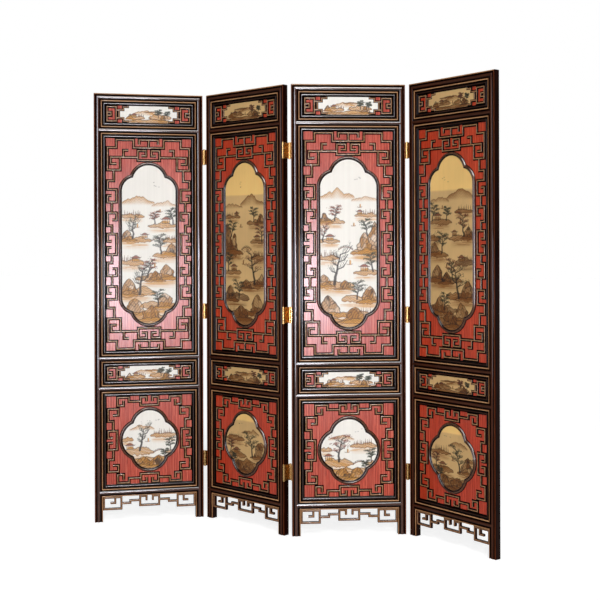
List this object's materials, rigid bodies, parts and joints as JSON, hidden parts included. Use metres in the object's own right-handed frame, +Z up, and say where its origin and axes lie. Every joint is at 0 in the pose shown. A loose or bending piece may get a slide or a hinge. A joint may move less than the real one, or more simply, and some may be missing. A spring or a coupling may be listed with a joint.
{
  "type": "folding screen",
  "caption": "Folding room screen of joined lacquered panels with applied fretwork, lobed picture windows, pierced aprons and two-way brass hinges, standing in a zigzag.",
  "frame": {"origin": "on the floor, under the middle of the standing zigzag's bounding box", "axes": "+Z up; +X along the screen's mean direction, to the right seen from the painted front; +Y towards the plain back"},
  "size_m": [1.7328, 0.2862, 1.83],
  "materials": {
    "black_lacquer": "near-black brown lacquer on hardwood, glossy, rubbed to tan along the beads",
    "red_lacquer": "red lacquer over a fine vertical grain, satin gloss",
    "rubbed_lacquer": "dark brown lacquer rubbed through to tan gold on the high edges",
    "ivory_lacquer": null,
    "polished_brass": "polished brass",
    "brass_screws": "turned brass, slotted countersunk heads"
  },
  "bodies": {
    "panel_1": {"panel_1_left_stile": "black_lacquer", "panel_1_right_stile": "black_lacquer", "panel_1_rails": "black_lacquer", "panel_1_boards": "red_lacquer", "panel_1_inner_mouldings": "black_lacquer", "panel_1_tall_fret": "rubbed_lacquer", "panel_1_lower_fret": "rubbed_lacquer", "panel_1_cartouche_frets": "rubbed_lacquer", "panel_1_window_mouldings": "rubbed_lacquer", "panel_1_picture_plaques": "ivory_lacquer", "panel_1_apron": "black_lacquer", "panel_1_hinge_leaves": "polished_brass", "panel_1_hinge_screws": "brass_screws"},
    "panel_2": {"panel_2_left_stile": "black_lacquer", "panel_2_right_stile": "black_lacquer", "panel_2_rails": "black_lacquer", "panel_2_boards": "red_lacquer", "panel_2_inner_mouldings": "black_lacquer", "panel_2_tall_fret": "rubbed_lacquer", "panel_2_lower_fret": "rubbed_lacquer", "panel_2_cartouche_frets": "rubbed_lacquer", "panel_2_window_mouldings": "rubbed_lacquer", "panel_2_picture_plaques": "ivory_lacquer", "panel_2_apron": "black_lacquer", "panel_2_hinge_leaves": "polished_brass", "panel_2_hinge_screws": "brass_screws"},
    "panel_3": {"panel_3_left_stile": "black_lacquer", "panel_3_right_stile": "black_lacquer", "panel_3_rails": "black_lacquer", "panel_3_boards": "red_lacquer", "panel_3_inner_mouldings": "black_lacquer", "panel_3_tall_fret": "rubbed_lacquer", "panel_3_lower_fret": "rubbed_lacquer", "panel_3_cartouche_frets": "rubbed_lacquer", "panel_3_window_mouldings": "rubbed_lacquer", "panel_3_picture_plaques": "ivory_lacquer", "panel_3_apron": "black_lacquer", "panel_3_hinge_leaves": "polished_brass", "panel_3_hinge_screws": "brass_screws"},
    "panel_4": {"panel_4_left_stile": "black_lacquer", "panel_4_right_stile": "black_lacquer", "panel_4_rails": "black_lacquer", "panel_4_boards": "red_lacquer", "panel_4_inner_mouldings": "black_lacquer", "panel_4_tall_fret": "rubbed_lacquer", "panel_4_lower_fret": "rubbed_lacquer", "panel_4_cartouche_frets": "rubbed_lacquer", "panel_4_window_mouldings": "rubbed_lacquer", "panel_4_picture_plaques": "ivory_lacquer", "panel_4_apron": "black_lacquer", "panel_4_hinge_leaves": "polished_brass", "panel_4_hinge_screws": "brass_screws"},
    "link_1_2": {"hinge_links_1_2": "polished_brass", "hinge_pins_1_2": "polished_brass"},
    "link_2_3": {"hinge_links_2_3": "polished_brass", "hinge_pins_2_3": "polished_brass"},
    "link_3_4": {"hinge_links_3_4": "polished_brass", "hinge_pins_3_4": "polished_brass"}
  },
  "joints": [
    {"name": "back_pin_1_2", "type": "hinge", "parent": "panel_2", "child": "link_1_2", "pos_m": [-0.43544, 0.13613, 0.9], "axis": [0, 0, 1], "range_deg": [-180, 0]},
    {"name": "front_pin_1_2", "type": "hinge", "parent": "link_1_2", "child": "panel_1", "pos_m": [-0.45039, 0.10119, 0.9], "axis": [0, 0, 1], "range_deg": [-55.3, 124.7]},
    {"name": "front_pin_2_3", "type": "hinge", "parent": "panel_2", "child": "link_2_3", "pos_m": [-0.0128, -0.08613, 0.9], "axis": [0, 0, 1], "range_deg": [-165, 0]},
    {"name": "back_pin_2_3", "type": "hinge", "parent": "link_2_3", "child": "panel_3", "pos_m": [0.00215, -0.0512, 0.9], "axis": [0, 0, 1], "range_deg": [-47, 133]},
    {"name": "front_pin_3_4", "type": "hinge", "parent": "panel_3", "child": "link_3_4", "pos_m": [0.45294, 0.10632, 0.9], "axis": [0, 0, -1], "range_deg": [-56.6, 123.4]},
    {"name": "back_pin_3_4", "type": "hinge", "parent": "link_3_4", "child": "panel_4", "pos_m": [0.47351, 0.13827, 0.9], "axis": [0, 0, -1], "range_deg": [-180, 0]}
  ]
}
